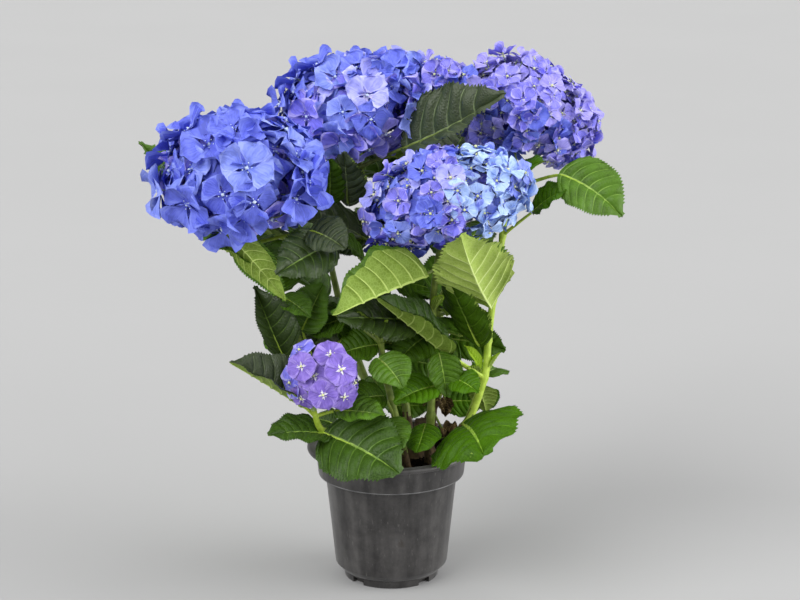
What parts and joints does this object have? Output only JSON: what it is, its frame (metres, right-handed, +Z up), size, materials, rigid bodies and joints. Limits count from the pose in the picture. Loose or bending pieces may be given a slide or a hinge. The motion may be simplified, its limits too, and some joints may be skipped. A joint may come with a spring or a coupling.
{
  "type": "potted hydrangea shrub",
  "caption": "Hydrangea shrub in bloom in a round nursery pot, with leafy green canes and large round blue, lilac and purple flower heads.",
  "frame": {"origin": "centre of the pot's flat underside", "axes": "+Z up, -Y to the front as in the picture, +X to the picture's right"},
  "size_m": [0.4866, 0.3345, 0.5349],
  "materials": {
    "pot_plastic": "dusty dark grey moulded plastic",
    "soil": "dark granular potting mix",
    "bark": "rough brown bark",
    "cane": "smooth green stem",
    "leaves": "semi-matte green leaf, paler below",
    "dry_leaves": "withered brown leaf",
    "flowers_blue": "soft matte blue sepals",
    "flowers_lilac": "soft matte lilac sepals",
    "flowers_purple": "soft matte purple sepals with white middles"
  },
  "bodies": {
    "root": {"pot": "pot_plastic", "soil": "soil", "woody_base": "bark", "cane_left": "cane", "cane_centre": "cane", "cane_right": "cane", "cane_front": "cane", "cane_small": "cane", "cane_middle": "cane", "cane_back": "cane", "cane_rear": "cane", "leaves_left": "leaves", "leaves_centre": "leaves", "leaves_right": "leaves", "leaves_front": "leaves", "leaves_small": "leaves", "leaves_middle": "leaves", "leaves_back": "leaves", "leaves_rear": "leaves", "leaves_dry": "dry_leaves", "head_left": "flowers_blue", "head_centre": "flowers_blue", "head_right": "flowers_lilac", "head_front": "flowers_blue", "head_small": "flowers_purple"}
  },
  "joints": []
}
